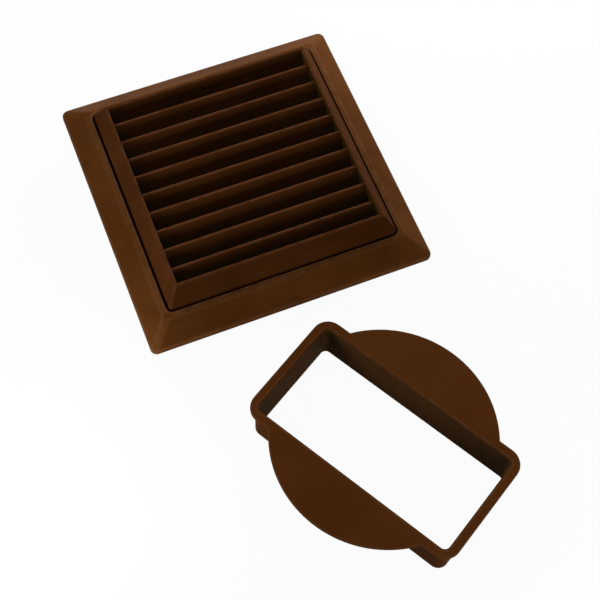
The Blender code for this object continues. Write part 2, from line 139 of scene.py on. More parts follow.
# %% [markdown]
# Two of the three mouldings are square rings: the bezel with its recess, and the raised border round
# the louvres. Each is drawn the way a pattern maker would sweep a profile: a flat square gets rounded
# corners, its outline is extruded from one corner of the section to the next and scaled as it goes,
# and the last outline is bridged back to the first. The corners can be made tighter on the way by
# scaling each one towards its own tip.

# %% Sweep a section round a square
CORNER_SEGMENTS = 8
QUADRANTS = [(1, 1), (-1, 1), (-1, -1), (1, -1)]


def selected_vertices(piece):
    """Indices of the vertices that are selected in edit mode."""
    return [vertex.index for vertex in bmesh.from_edit_mesh(piece.data).verts if vertex.select]


def pick_vertices(piece, indices, sign_x=0, sign_y=0):
    """Select some vertices by index, all of them or those in one quadrant."""
    wanted = set(indices)
    pick(piece, "VERT", lambda vertex: vertex.index in wanted
         and vertex.co.x * sign_x >= 0 and vertex.co.y * sign_y >= 0)


def tighten_corners(piece, centre, half, share):
    """Scale each corner of the selected outline towards its own tip."""
    outline = selected_vertices(piece)
    for sign_x, sign_y in QUADRANTS:
        pick_vertices(piece, outline, sign_x, sign_y)
        tip = (centre[0] + sign_x * half, centre[1] + sign_y * half, 0.0)
        bpy.ops.transform.resize(value=(share, share, 1.0), center_override=tip)
    pick_vertices(piece, outline)
    bpy.ops.mesh.select_mode(type="EDGE")


def sweep_square(name, centre, section):
    """Sweep a closed section, given as (half width, height, corner radius), round a square."""
    half, height, corner = section[0]
    clear_selection()
    bpy.ops.mesh.primitive_plane_add(size=2 * half, location=(centre[0], centre[1], 0.0))
    piece = name_new(name)
    bpy.ops.object.mode_set(mode="EDIT")
    bpy.ops.mesh.select_mode(type="VERT")
    bpy.ops.mesh.select_all(action="SELECT")
    bpy.ops.transform.translate(value=(0.0, 0.0, height))
    bpy.ops.mesh.bevel(offset=corner, segments=CORNER_SEGMENTS, affect="VERTICES")
    bpy.ops.mesh.delete(type="ONLY_FACE")
    bpy.ops.mesh.select_mode(type="EDGE")
    bpy.ops.mesh.select_all(action="SELECT")
    for next_half, next_height, next_corner in section[1:]:
        bpy.ops.mesh.extrude_region_move(
            TRANSFORM_OT_translate={"value": (0.0, 0.0, next_height - height)})
        share = next_half / half
        bpy.ops.transform.resize(value=(share, share, 1.0),
                                 center_override=(centre[0], centre[1], 0.0))
        tighten_corners(piece, centre, next_half, next_corner / (corner * share))
        half, height, corner = next_half, next_height, next_corner
    bpy.ops.mesh.select_all(action="DESELECT")
    bpy.ops.mesh.select_non_manifold()
    bpy.ops.mesh.bridge_edge_loops()
    bpy.ops.mesh.select_all(action="SELECT")
    bpy.ops.mesh.normals_make_consistent(inside=False)
    return piece


def off_square(point, half, corner):
    """How far a point lies outside a rounded square, seen from above."""
    beyond_x = abs(point.x) - (half - corner)
    beyond_y = abs(point.y) - (half - corner)
    if beyond_x > 0 and beyond_y > 0:
        return math.hypot(beyond_x, beyond_y) - corner
    return max(beyond_x, beyond_y) - corner


def soften_ring(piece, ring, offset, segments=4):
    """Bevel one ring of edges of a swept section, given as (half width, height, corner radius)."""
    half, height, corner = ring

    def on_ring(edge):
        return all(abs(vertex.co.z - height) < NEAR
                   and abs(off_square(vertex.co, half, corner)) < NEAR for vertex in edge.verts)

    count = pick(piece, "EDGE", on_ring)
    bpy.ops.mesh.bevel(offset=offset, segments=segments, affect="EDGES", profile=0.5)
    print(f"  {piece.name}: {count} edges softened at half width {1000 * half:.2f} mm")


# %% [markdown]
# The wall frame is a thin-walled moulding: a bezel that slopes up from the wall to a narrow flat land,
# a square recess with a floor, and behind it a hollow. At the rim a small lip overhangs the recess,
# which makes the gap round the louvre panel look narrow. The section has thirteen corners, and the ones
# that a hand would touch are softened with bevels of their own size. All heights start at the plane of
# the wall, which is one spigot length above the table.

# %% Bezel, recess and floor
GRILLE_CENTRE = (0.0, 0.0728)
WALL_PLANE = 0.018
FRAME_HALF = 0.075
RECESS_HALF = 0.06185
BEZEL_FOOT = 0.0025
LAND_TOP = 0.0118
FRAME_FRONT = 0.0123
LAND_WIDTH = 0.0022
LAND_HALF = RECESS_HALF + LAND_WIDTH
FLOOR_TOP = 0.0045
FLOOR_BACK = 0.0023
FRAME_WALL = 0.0020
RECESS_WALL = 0.0018
RECESS_BACK_HALF = RECESS_HALF + RECESS_WALL
RIM_LIP = 0.0004
RIM_LIP_DEPTH = 0.0010
START_HALF = 0.030
OUTER_CORNER = 0.0034
LAND_CORNER = 0.0032
RIM_CORNER = 0.0030
RECESS_CORNER = 0.0032
START_CORNER = 0.0020
BACK_CORNER = 0.0050
INSIDE_CORNER = 0.0014
FOOT_ROUNDING = 0.0007
LAND_ROUNDING = 0.0008
RIM_ROUNDING = 0.0005
FLOOR_ROUNDING = 0.0004

bezel_run = FRAME_HALF - LAND_HALF
bezel_rise = LAND_TOP - BEZEL_FOOT
wall_drop = FRAME_WALL * math.hypot(bezel_run, bezel_rise) / bezel_run


def underside(half):
    """Height of the hollow's ceiling, one wall thickness under the bezel's slope."""
    return BEZEL_FOOT + bezel_rise * (FRAME_HALF - half) / bezel_run - wall_drop


inside_half = FRAME_HALF - FRAME_WALL
frame_section = [
    (FRAME_HALF, 0.0, OUTER_CORNER),
    (FRAME_HALF, BEZEL_FOOT, OUTER_CORNER),
    (LAND_HALF, LAND_TOP, LAND_CORNER),
    (RECESS_HALF - RIM_LIP, FRAME_FRONT, RIM_CORNER),
    (RECESS_HALF - RIM_LIP, FRAME_FRONT - RIM_LIP_DEPTH, RIM_CORNER),
    (RECESS_HALF, FRAME_FRONT - RIM_LIP_DEPTH - RIM_LIP, RECESS_CORNER),
    (RECESS_HALF, FLOOR_TOP, RECESS_CORNER),
    (START_HALF, FLOOR_TOP, START_CORNER),
    (START_HALF, FLOOR_BACK, START_CORNER),
    (RECESS_BACK_HALF, FLOOR_BACK, BACK_CORNER),
    (RECESS_BACK_HALF, underside(RECESS_BACK_HALF), BACK_CORNER),
    (inside_half, underside(inside_half), INSIDE_CORNER),
    (inside_half, 0.0, INSIDE_CORNER),
]
frame_section = [(half, WALL_PLANE + height, corner) for half, height, corner in frame_section]
grille_frame = sweep_square("grille_frame", GRILLE_CENTRE, frame_section)
slope_start, land, rim = frame_section[1:4]
floor_corner = frame_section[6]
soften_ring(grille_frame, slope_start, FOOT_ROUNDING)
soften_ring(grille_frame, land, LAND_ROUNDING)
soften_ring(grille_frame, rim, RIM_ROUNDING)
soften_ring(grille_frame, floor_corner, FLOOR_ROUNDING, segments=3)
print("grille_frame has", len(grille_frame.data.polygons), "faces before its cuts")

# %% [markdown]
# Behind the floor stands a round duct spigot. A solid cylinder is joined on, and one cutter then opens
# the airway through floor and spigot together, so that the bore is in line all the way. It takes in the
# small square hole that the sweep left in the floor. The lead-in at the spigot's end is a bevel on the
# cylinder before it is joined, and a flare on the cutter.

# %% Spigot and airway
SPIGOT_RADIUS = 0.0505
BORE_RADIUS = 0.0485
LEAD_IN = 0.0008
OVERLAP = 0.0005
ROUND_STEPS = 128


def upright_cylinder(name, radius, low, high, steps=ROUND_STEPS, centre=GRILLE_CENTRE):
    """A capped cylinder that stands between two heights, with its origin at the table."""
    clear_selection()
    bpy.ops.mesh.primitive_cylinder_add(vertices=steps, radius=radius, depth=high - low,
                                        location=(centre[0], centre[1], 0.0))
    piece = name_new(name)
    bpy.ops.object.mode_set(mode="EDIT")
    bpy.ops.mesh.select_all(action="SELECT")
    bpy.ops.transform.translate(value=(0.0, 0.0, (low + high) / 2))
    return piece


def pick_level(piece, height):
    """Select the edges that lie at one height."""
    return pick(piece, "EDGE",
                lambda edge: all(abs(vertex.co.z - height) < NEAR for vertex in edge.verts))


spigot = upright_cylinder("spigot", SPIGOT_RADIUS, 0.0, WALL_PLANE + FLOOR_BACK + OVERLAP)
pick_level(spigot, 0.0)
bpy.ops.mesh.bevel(offset=LEAD_IN, segments=2, affect="EDGES")
combine(grille_frame, spigot, "UNION")

bore = upright_cylinder("bore", BORE_RADIUS, LEAD_IN / 2, WALL_PLANE + FLOOR_TOP + OVERLAP)
pick(bore, "FACE", lambda face: all(abs(vertex.co.z - LEAD_IN / 2) < NEAR for vertex in face.verts))
bpy.ops.mesh.extrude_region_move(TRANSFORM_OT_translate={"value": (0.0, 0.0, -LEAD_IN)})
flare = 1.0 + LEAD_IN / BORE_RADIUS
bpy.ops.transform.resize(value=(flare, flare, 1.0),
                         center_override=(GRILLE_CENTRE[0], GRILLE_CENTRE[1], 0.0))
combine(grille_frame, bore, "DIFFERENCE")
print("airway opened,", round(2000 * BORE_RADIUS), "mm across")

# %% [markdown]
# What the camera doesn't see is still part of the moulding: ribs that keep the hollow bezel stiff,
# bosses that carry the screws' pull to the wall, the countersunk holes in them, and the windows that
# the snap nibs face. A rib is modelled once, shaped, and copied round the square, and a boss is made at
# each screw.

# %% Ribs, bosses, screw holes and snap windows
RIB_THICKNESS = 0.0012
RIB_SETBACK = 0.0008
SCREW_HALF_SPACING = 0.0525
BOSS_RADIUS = 0.0050
SCREW_RADIUS = 0.00225
HEAD_RADIUS = 0.0043
HEAD_DEPTH = 0.0016
SCREW_STEPS = 40
TONGUE_Y = -0.019
TONGUE_WIDTH = 0.028
NIB_INSET = 0.0005
NIB_HALF = TONGUE_WIDTH / 2 - NIB_INSET
NIB_FOOT = 0.0058
NIB_LOW = WALL_PLANE + NIB_FOOT
NIB_HEIGHT = 0.0026
WINDOW_CLEARANCE = 0.0006


def block(name, low, high, centre=GRILLE_CENTRE):
    """A box between two corners, measured from the grille's centre line and the table."""
    clear_selection()
    bpy.ops.mesh.primitive_cube_add(size=1.0, location=(centre[0], centre[1], 0.0))
    piece = name_new(name)
    bpy.ops.object.mode_set(mode="EDIT")
    bpy.ops.mesh.select_all(action="SELECT")
    size = [high[axis] - low[axis] for axis in range(3)]
    middle = [(high[axis] + low[axis]) / 2 for axis in range(3)]
    bpy.ops.transform.resize(value=size, center_override=(centre[0], centre[1], 0.0))
    bpy.ops.transform.translate(value=middle)
    return piece


def copy_piece(piece, quarter=0):
    """A copy with its own mesh, turned by quarters of a turn about its origin."""
    clear_selection()
    twin = piece.copy()
    twin.data = piece.data.copy()
    bpy.context.scene.collection.objects.link(twin)
    twin.rotation_euler.z = quarter * math.pi / 2
    return twin


def join_copies(pieces, name):
    """Join several objects that don't touch each other into one."""
    clear_selection()
    for piece in pieces:
        piece.select_set(True)
    bpy.context.view_layer.objects.active = pieces[0]
    bpy.ops.object.join()
    return name_new(name)


ribs = []
rib_inner = RECESS_BACK_HALF - OVERLAP
rib_outer = inside_half + OVERLAP
for place in (-FRAME_HALF / 2, 0.0, FRAME_HALF / 2):
    rib = block("rib", (rib_inner, place - RIB_THICKNESS / 2, WALL_PLANE + RIB_SETBACK),
                (rib_outer, place + RIB_THICKNESS / 2, WALL_PLANE + FLOOR_TOP))
    for half in (rib_inner, rib_outer):
        pick(rib, "VERT", lambda vertex, x=half: abs(vertex.co.x - x) < NEAR
             and vertex.co.z > WALL_PLANE + FLOOR_TOP - NEAR)
        lift = underside(half) + OVERLAP - FLOOR_TOP
        bpy.ops.transform.translate(value=(0.0, 0.0, lift))
    ribs += [copy_piece(rib, quarter) for quarter in range(1, 4)] + [rib]
combine(grille_frame, join_copies(ribs, "ribs"), "UNION")

screw_spots = [(GRILLE_CENTRE[0] + x * SCREW_HALF_SPACING, GRILLE_CENTRE[1] + y * SCREW_HALF_SPACING)
               for x, y in QUADRANTS]
boss_top = WALL_PLANE + FLOOR_BACK + OVERLAP
bosses = [upright_cylinder("boss", BOSS_RADIUS, WALL_PLANE, boss_top, SCREW_STEPS, spot)
          for spot in screw_spots]
combine(grille_frame, join_copies(bosses, "bosses"), "UNION")

floor_level = WALL_PLANE + FLOOR_TOP
screw_holes = []
for spot in screw_spots:
    hole = upright_cylinder("hole", SCREW_RADIUS, WALL_PLANE - OVERLAP, floor_level - HEAD_DEPTH,
                            SCREW_STEPS, spot)
    pick(hole, "FACE", lambda face: face.normal.z > FACING)
    bpy.ops.mesh.extrude_region_move(
        TRANSFORM_OT_translate={"value": (0.0, 0.0, HEAD_DEPTH + OVERLAP)})
    slope = (HEAD_RADIUS - SCREW_RADIUS) / HEAD_DEPTH
    widening = (HEAD_RADIUS + OVERLAP * slope) / SCREW_RADIUS
    bpy.ops.transform.resize(value=(widening, widening, 1.0), center_override=(spot[0], spot[1], 0.0))
    screw_holes.append(hole)
combine(grille_frame, join_copies(screw_holes, "screw_holes"), "DIFFERENCE")

windows = []
for side in (-1, 1):
    near = side * (RECESS_HALF - OVERLAP)
    far = side * (RECESS_BACK_HALF + OVERLAP)
    reach = NIB_HALF + WINDOW_CLEARANCE
    windows.append(block("window", (min(near, far), TONGUE_Y - reach, NIB_LOW - WINDOW_CLEARANCE),
                         (max(near, far), TONGUE_Y + reach, NIB_LOW + NIB_HEIGHT + WINDOW_CLEARANCE)))
combine(grille_frame, join_copies(windows, "windows"), "DIFFERENCE")
print("grille_frame has", len(grille_frame.data.polygons), "faces with its ribs, bosses and windows")

# %% [markdown]
# The louvre panel's border rises steeply out of the recess to a narrow lip, with a skirt below that
# stands on the recess floor and is hidden in the gap. Its outer corners are rounded and its opening's
# corners crisp, so the corner radius shrinks along the section. The lip and the shoulder are softened.

# %% Border of the louvre panel
SKIRT_HALF = 0.06025
SHOULDER = 0.0141
PANEL_FRONT = 0.0241
PANEL_FOOT = 0.0048
OPENING_HALF = 0.0534
LIP_WIDTH = 0.0015
PANEL_WALL = 0.0016
FLANGE_FOOT = 0.0110
SKIRT_CORNER = 0.0015
OPENING_CORNER = 0.0006
SHOULDER_ROUNDING = 0.0005
LIP_ROUNDING = 0.0005
OPENING_ROUNDING = 0.0004

steepness = (PANEL_FRONT - SHOULDER) / (SKIRT_HALF - OPENING_HALF - LIP_WIDTH)
slant = PANEL_WALL * math.hypot(1.0, steepness) / steepness
back_half = OPENING_HALF + PANEL_WALL
back_crest = SHOULDER + (SKIRT_HALF - slant - back_half) * steepness
back_shoulder = SHOULDER - (slant - PANEL_WALL) * steepness


def border_corner(half):
    """Corner radius at one place of the border, between the skirt's and the opening's."""
    share = (SKIRT_HALF - half) / (SKIRT_HALF - OPENING_HALF)
    return SKIRT_CORNER + (OPENING_CORNER - SKIRT_CORNER) * share


border_section = [(SKIRT_HALF, PANEL_FOOT), (SKIRT_HALF, SHOULDER),
                  (OPENING_HALF + LIP_WIDTH, PANEL_FRONT), (OPENING_HALF, PANEL_FRONT),
                  (OPENING_HALF, FLANGE_FOOT), (back_half, FLANGE_FOOT), (back_half, back_crest),
                  (SKIRT_HALF - PANEL_WALL, back_shoulder), (SKIRT_HALF - PANEL_WALL, PANEL_FOOT)]
border_section = [(half, WALL_PLANE + height, border_corner(half)) for half, height in border_section]
louvre_panel = sweep_square("louvre_panel", GRILLE_CENTRE, border_section)
soften_ring(louvre_panel, border_section[1], SHOULDER_ROUNDING)
soften_ring(louvre_panel, border_section[2], LIP_ROUNDING)
soften_ring(louvre_panel, border_section[3], OPENING_ROUNDING, segments=3)
print("louvre_panel's border rises", round(1000 * (PANEL_FRONT - SHOULDER), 1), "mm above its shoulder")

# %% [markdown]
# A blade is a thin slat that slopes back and down to shed the rain. It starts as a box, and sliding
# its rear face along Y leans it over without turning it, which keeps the front edge level as on the
# real one. The two front corners are rounded. Nine copies make it ten blades, spaced evenly from inside
# the border's upper side to inside its lower side, and all are joined to the border.

# %% Blades
BLADE_COUNT = 10
BLADE_TOP_INLET = 0.0020
BLADE_BOTTOM_INLET = 0.0017
BLADE_END_INLET = 0.0008
BLADE_SETBACK = 0.0014
BLADE_THICKNESS = 0.0009
BLADE_SLOPE = math.radians(50)
BLADE_DEPTH_SHARE = 0.95
BLADE_ROUNDING = 0.0003

blade_pitch = (2 * OPENING_HALF + BLADE_TOP_INLET + BLADE_BOTTOM_INLET) / BLADE_COUNT
blade_depth = BLADE_DEPTH_SHARE * blade_pitch
blade_front = WALL_PLANE + PANEL_FRONT - BLADE_SETBACK
blade_width = BLADE_THICKNESS / math.sin(BLADE_SLOPE)
first_blade_y = OPENING_HALF + BLADE_TOP_INLET
blade_half = OPENING_HALF + BLADE_END_INLET

blade = block("blade", (-blade_half, first_blade_y - blade_width, blade_front - blade_depth),
              (blade_half, first_blade_y, blade_front))
pick(blade, "FACE", lambda face: face.normal.z < -FACING)
bpy.ops.transform.translate(value=(0.0, -blade_depth / math.tan(BLADE_SLOPE), 0.0))
pick(blade, "EDGE", lambda edge: all(vertex.co.z > blade_front - NEAR for vertex in edge.verts)
     and abs(edge.verts[0].co.y - edge.verts[1].co.y) < NEAR)
bpy.ops.mesh.bevel(offset=BLADE_ROUNDING, segments=3, affect="EDGES")
blades = [blade]
for index in range(1, BLADE_COUNT):
    twin = copy_piece(blade)
    twin.location.y -= index * blade_pitch
    blades.append(twin)
combine(louvre_panel, join_copies(blades, "blades"), "UNION")
print(BLADE_COUNT, "blades at a pitch of", round(1000 * blade_pitch, 2), "mm")

# %% [markdown]
# Two snap tongues hold the panel in the frame, one in the left and one in the right side of the skirt.
# Two slots set each tongue free so that it can flex, and a barbed nib stands out from it into the side
# gap. The nib is a box whose lower edge is pulled back to the skirt, so that it rides in easily.

# %% Snap tongues and nibs
TONGUE_SLOT = 0.0014
TONGUE_SLOT_DROP = 0.0012
TONGUE_SLOT_TOP = WALL_PLANE + FRAME_FRONT - TONGUE_SLOT_DROP
NIB_CLEARANCE = 0.0005
NIB_UNDERCUT = 0.0007
NIB_TAPER = 0.7

slots = []
nibs = []
for side in (-1, 1):
    near = side * (SKIRT_HALF - PANEL_WALL - OVERLAP)
    far = side * (SKIRT_HALF + OVERLAP)
    for end in (-1, 1):
        middle = TONGUE_Y + end * (TONGUE_WIDTH + TONGUE_SLOT) / 2
        slots.append(block("slot", (min(near, far), middle - TONGUE_SLOT / 2, WALL_PLANE + FLOOR_TOP),
                           (max(near, far), middle + TONGUE_SLOT / 2, TONGUE_SLOT_TOP)))
    root = side * (SKIRT_HALF - OVERLAP)
    tip = side * (RECESS_HALF - NIB_CLEARANCE)
    nib = block("nib", (min(root, tip), TONGUE_Y - NIB_HALF, NIB_LOW),
                (max(root, tip), TONGUE_Y + NIB_HALF, NIB_LOW + NIB_HEIGHT))
    pick(nib, "VERT", lambda vertex, x=tip: abs(vertex.co.x - x) < NEAR
         and vertex.co.z < NIB_LOW + NEAR)
    bpy.ops.transform.translate(value=(0.0, 0.0, NIB_TAPER * NIB_HEIGHT))
    pick(nib, "VERT", lambda vertex, x=root: abs(vertex.co.x - x) < NEAR
         and vertex.co.z > NIB_LOW + NIB_HEIGHT - NEAR)
    bpy.ops.transform.translate(value=(0.0, 0.0, -NIB_UNDERCUT))
    nibs.append(nib)
combine(louvre_panel, join_copies(slots, "slots"), "DIFFERENCE")
combine(louvre_panel, join_copies(nibs, "nibs"), "UNION")
print("louvre_panel has", len(louvre_panel.data.polygons), "faces")

# %% [markdown]
# The adaptor joins a round duct to flat channel. Its plate is a disc with a rounded rectangle across
# it, its sleeve is a rectangular tube under the plate, and the channel runs through both. A bevel goes
# wrong where a Boolean leaves stray edges, so each plain shape gets its rims rounded before it is
# joined to the rest.

# %% Duct adaptor: plate and sleeve
ADAPTOR_CENTRE = (0.0125, -0.0832, 0.0)
ADAPTOR_TURN = math.radians(-60)
CHANNEL_LENGTH = 0.110
CHANNEL_WIDTH = 0.054
CHANNEL_CORNER = 0.0030
SLEEVE_WALL = 0.0022
SLEEVE_DEPTH = 0.027
PLATE_THICKNESS = 0.0020
PLATE_LIP = 0.0048
PLATE_CORNER = 0.0085
PLATE_ROUNDING = 0.0005
DISC_RADIUS = 0.0545
DISC_STEPS = 124
PLATE_CORNER_STEPS = 14
RIM_STEPS = 3
ORIGIN = (0.0, 0.0)


def rounded_block(name, length, width, low, high, corner, segments=10):
    """A block at the origin with its four upright edges rounded."""
    piece = block(name, (-length / 2, -width / 2, low), (length / 2, width / 2, high), ORIGIN)
    pick(piece, "EDGE", lambda edge: abs(edge.verts[0].co.z - edge.verts[1].co.z) > NEAR)
    bpy.ops.mesh.bevel(offset=corner, segments=segments, affect="EDGES")
    return piece


def round_rim(piece, heights):
    """Round the rims of a plain upright piece at the given heights."""
    for height in heights:
        pick_level(piece, height)
        bpy.ops.mesh.bevel(offset=PLATE_ROUNDING, segments=RIM_STEPS, affect="EDGES")


plate_low = SLEEVE_DEPTH - PLATE_THICKNESS
channel_adaptor = upright_cylinder("channel_adaptor", DISC_RADIUS, plate_low, SLEEVE_DEPTH, DISC_STEPS,
                                   ORIGIN)
round_rim(channel_adaptor, (plate_low, SLEEVE_DEPTH))
cross_plate = rounded_block("cross_plate", CHANNEL_LENGTH + 2 * PLATE_LIP,
                            CHANNEL_WIDTH + 2 * PLATE_LIP, plate_low, SLEEVE_DEPTH, PLATE_CORNER,
                            PLATE_CORNER_STEPS)
round_rim(cross_plate, (plate_low, SLEEVE_DEPTH))
combine(channel_adaptor, cross_plate, "UNION")
sleeve = rounded_block("sleeve", CHANNEL_LENGTH + 2 * SLEEVE_WALL, CHANNEL_WIDTH + 2 * SLEEVE_WALL, 0.0,
                       SLEEVE_DEPTH - PLATE_THICKNESS / 2, CHANNEL_CORNER + SLEEVE_WALL)
round_rim(sleeve, (0.0,))
combine(channel_adaptor, sleeve, "UNION")
print("adaptor plate and sleeve:", len(channel_adaptor.data.polygons), "faces")

# %% [markdown]
# The channel is cut last, through plate and sleeve together. The cutter is a rounded block whose end
# faces are pulled outwards in small steps, each wider than the one before, so that it flares like a
# trumpet at both ends and leaves both mouths rounded.

# %% Duct adaptor: channel
MOUTH_STEPS = 3


def flare_end(cutter, level, outward):
    """Pull a cutter's end face outwards in steps that round the mouth it will cut."""
    pick(cutter, "FACE", lambda face: face.normal.z * outward > FACING)
    rise, spread = 0.0, 0.0
    for step in range(1, MOUTH_STEPS + 1):
        turn = step * math.pi / 2 / MOUTH_STEPS
        next_rise = PLATE_ROUNDING * math.sin(turn)
        next_spread = PLATE_ROUNDING * (1 - math.cos(turn))
        bpy.ops.mesh.extrude_region_move(
            TRANSFORM_OT_translate={"value": (0.0, 0.0, outward * (next_rise - rise))})
        bpy.ops.transform.resize(center_override=(0.0, 0.0, level), value=(
            (CHANNEL_LENGTH + 2 * next_spread) / (CHANNEL_LENGTH + 2 * spread),
            (CHANNEL_WIDTH + 2 * next_spread) / (CHANNEL_WIDTH + 2 * spread), 1.0))
        rise, spread = next_rise, next_spread
    bpy.ops.mesh.extrude_region_move(TRANSFORM_OT_translate={"value": (0.0, 0.0, outward * OVERLAP)})


channel = rounded_block("channel", CHANNEL_LENGTH, CHANNEL_WIDTH, PLATE_ROUNDING,
                        SLEEVE_DEPTH - PLATE_ROUNDING, CHANNEL_CORNER)
flare_end(channel, SLEEVE_DEPTH - PLATE_ROUNDING, 1)
flare_end(channel, PLATE_ROUNDING, -1)
combine(channel_adaptor, channel, "DIFFERENCE")
clear_selection()
channel_adaptor.rotation_euler.z = ADAPTOR_TURN
channel_adaptor.location = ADAPTOR_CENTRE
print("channel_adaptor has", len(channel_adaptor.data.polygons), "faces")

# %% [markdown]
# Each mesh is cleaned the same way: doubles are merged, faces are shaded smooth except across sharp
# edges, and weighted normals keep the big flat faces flat, so that only the narrow roundings catch the
# light. Then the place goes into the mesh, each piece rides on its CAD body and stands for its node.

# %% Finish the meshes and hang them on the frame
SMOOTH_ANGLE = math.radians(35)
MERGE_DISTANCE = 2e-6


def finish_mesh(piece):
    """Merge doubles, shade, and move the piece's place into its mesh."""
    open_edit(piece)
    bpy.ops.mesh.select_all(action="SELECT")
    bpy.ops.mesh.remove_doubles(threshold=MERGE_DISTANCE)
    bpy.ops.mesh.dissolve_degenerate(threshold=MERGE_DISTANCE)
    clear_selection()
    piece.select_set(True)
    bpy.context.view_layer.objects.active = piece
    bpy.ops.object.transform_apply(location=True, rotation=True, scale=True)
    bpy.ops.object.shade_smooth_by_angle(angle=SMOOTH_ANGLE)
    modifier = piece.modifiers.new("flat_faces", "WEIGHTED_NORMAL")
    modifier.keep_sharp = True
    bpy.ops.object.modifier_apply(modifier=modifier.name)


for piece, body, node, slot in ((grille_frame, "frame", "wall_frame", "frame_plastic"),
                                (louvre_panel, "insert", "louvre_insert", "louvre_plastic"),
                                (channel_adaptor, "adaptor", "duct_adaptor", "adaptor_plastic")):
    finish_mesh(piece)
    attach(piece, body)
    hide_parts(node)
    print(piece.name, "has", len(piece.data.polygons), "faces")

# %% [markdown]
# The plastic's look is built from five shared effects, each a shader node group with named sockets: a
# fine grain from the mould, a slow drift of tone from the flow of the melt, edges painted lighter, a
# little as wear from handling and mostly as a painted highlight, sparse specks of dust, and a painted
# shade in the depths. A group puts out only colours, masks and heights.

# %% Helpers for shader node groups
def new_group(name, inputs, outputs):
    """An empty shader node group with named sockets, given as (name, socket type, default)."""
    group = bpy.data.node_groups.new(name, "ShaderNodeTree")
    for title, kind, default in inputs:
        socket = group.interface.new_socket(name=title, in_out="INPUT", socket_type=kind)
        if default is not None:
            socket.default_value = default
    for title, kind in outputs:
        group.interface.new_socket(name=title, in_out="OUTPUT", socket_type=kind)
    return group, group.nodes.new("NodeGroupInput"), group.nodes.new("NodeGroupOutput")


def math_node(tree, operation, first, second=None, clamp=False):
    """A Math node; each input is a socket to link or a number to set."""
    node = tree.nodes.new("ShaderNodeMath")
    node.operation = operation
    node.use_clamp = clamp
    for place, value in enumerate((first, second)):
        if value is None:
            continue
        if isinstance(value, bpy.types.NodeSocket):
            tree.links.new(value, node.inputs[place])
        else:
            node.inputs[place].default_value = value
    return node.outputs[0]


def remap(tree, value, from_low, from_high, to_low=0.0, to_high=1.0):
    """A smooth Map Range node."""
    node = tree.nodes.new("ShaderNodeMapRange")
    node.interpolation_type = "SMOOTHSTEP"
    tree.links.new(value, node.inputs["Value"])
    for title, number in (("From Min", from_low), ("From Max", from_high),
                          ("To Min", to_low), ("To Max", to_high)):
        node.inputs[title].default_value = number
    return node.outputs["Result"]


def noise(tree, place, scale, detail=2.0, roughness=0.5):
    """A noise texture on the piece's own coordinates; the scale is a number or a socket."""
    node = tree.nodes.new("ShaderNodeTexNoise")
    tree.links.new(place, node.inputs["Vector"])
    if isinstance(scale, bpy.types.NodeSocket):
        tree.links.new(scale, node.inputs["Scale"])
    else:
        node.inputs["Scale"].default_value = scale
    node.inputs["Detail"].default_value = detail
    node.inputs["Roughness"].default_value = roughness
    return node.outputs["Fac"]


def mix_colour(tree, mask, first, second):
    """Mix two colours by a mask; each is a socket to link or a colour to set."""
    node = tree.nodes.new("ShaderNodeMix")
    node.data_type = "RGBA"
    tree.links.new(mask, node.inputs["Factor"])
    for title, value in (("A", first), ("B", second)):
        socket = [item for item in node.inputs if item.name == title and item.type == "RGBA"][0]
        if isinstance(value, bpy.types.NodeSocket):
            tree.links.new(value, socket)
        else:
            socket.default_value = (*value, 1.0)
    return [item for item in node.outputs if item.type == "RGBA"][0]


def ramp(tree, value, start, end):
    """A linear Map Range node from nought to one, with its ends linked to sockets."""
    node = tree.nodes.new("ShaderNodeMapRange")
    for title, socket in (("Value", value), ("From Min", start), ("From Max", end)):
        tree.links.new(socket, node.inputs[title])
    return node.outputs["Result"]


def free_sky(tree, distance, samples, inside=False):
    """How much of the sky is free over a point, with only the piece itself in the way."""
    node = tree.nodes.new("ShaderNodeAmbientOcclusion")
    node.samples = samples
    node.inside = inside
    node.only_local = True
    tree.links.new(distance, node.inputs["Distance"])
    return node.outputs["AO"]


# %% [markdown]
# The mould was spark-eroded, which leaves a fine even grain on the plastic. Two sizes of noise make it:
# the grain itself, and a softer ripple that breaks it up. The group gives a height for the bump and a
# mask that varies the roughness with it.

# %% Group: mould grain
VECTOR, FLOAT, COLOUR = "NodeSocketVector", "NodeSocketFloat", "NodeSocketColor"
GRAINS_PER_METRE = 3500.0
RIPPLE_SCALE = 0.12
GRAIN_SHARE = 0.7
RIPPLE_SHARE = 0.3

grain_group, grain_in, grain_out = new_group(
    "mould_grain", [("Place", VECTOR, None), ("Grains per metre", FLOAT, GRAINS_PER_METRE)],
    [("Height", FLOAT), ("Roughness mask", FLOAT)])
fine_grain = noise(grain_group, grain_in.outputs["Place"], grain_in.outputs["Grains per metre"],
                   detail=3.0, roughness=0.6)
ripple_scale = math_node(grain_group, "MULTIPLY", grain_in.outputs["Grains per metre"], RIPPLE_SCALE)
ripple = noise(grain_group, grain_in.outputs["Place"], ripple_scale)
height = math_node(grain_group, "ADD", math_node(grain_group, "MULTIPLY", fine_grain, GRAIN_SHARE),
                   math_node(grain_group, "MULTIPLY", ripple, RIPPLE_SHARE))
grain_group.links.new(height, grain_out.inputs["Height"])
grain_group.links.new(remap(grain_group, ripple, 0.3, 0.7), grain_out.inputs["Roughness mask"])
print("group", grain_group.name, "has", len(grain_group.nodes), "nodes")

# %% [markdown]
# Where the melt flowed and cooled at different rates, the brown drifts a little between a lighter and
# a darker tone over several centimetres, with faint streaks along the flow. A stretched noise laid over
# a round one gives both.

# %% Group: melt flow
STREAK_STRETCH = (0.25, 1.6, 1.6)
STREAK_SCALE = 3.0
PATCH_SHARE = 0.75
STREAK_SHARE = 0.25

